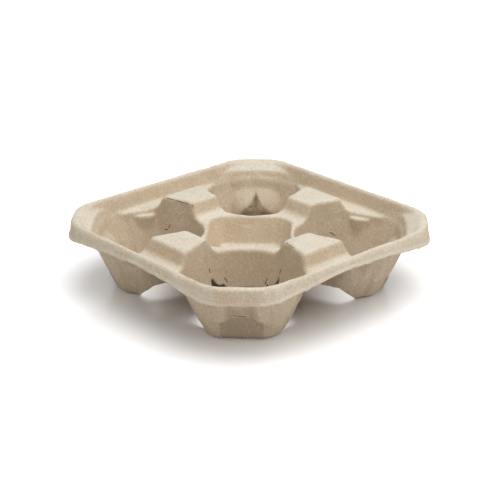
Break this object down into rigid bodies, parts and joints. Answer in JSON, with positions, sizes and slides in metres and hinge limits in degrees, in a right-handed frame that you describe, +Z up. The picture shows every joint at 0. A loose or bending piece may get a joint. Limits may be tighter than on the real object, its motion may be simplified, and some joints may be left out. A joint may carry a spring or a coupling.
{
  "type": "moulded fibre cup carrier",
  "caption": "Square drinks tray moulded from fibre pulp, with tapered cup pockets at the corners, raised blocks between them, a basin in the middle and a rolled rim.",
  "frame": {"origin": "middle of the carrier, on the surface its feet stand on", "axes": "+Z up through the middle of the tray; +X and +Y square to its sides, so a cup pocket lies on each diagonal"},
  "size_m": [0.218, 0.218, 0.0537],
  "materials": {
    "pulp": "matt moulded fibre, speckled beige"
  },
  "bodies": {
    "root": {"cup_carrier": "pulp"}
  },
  "joints": []
}
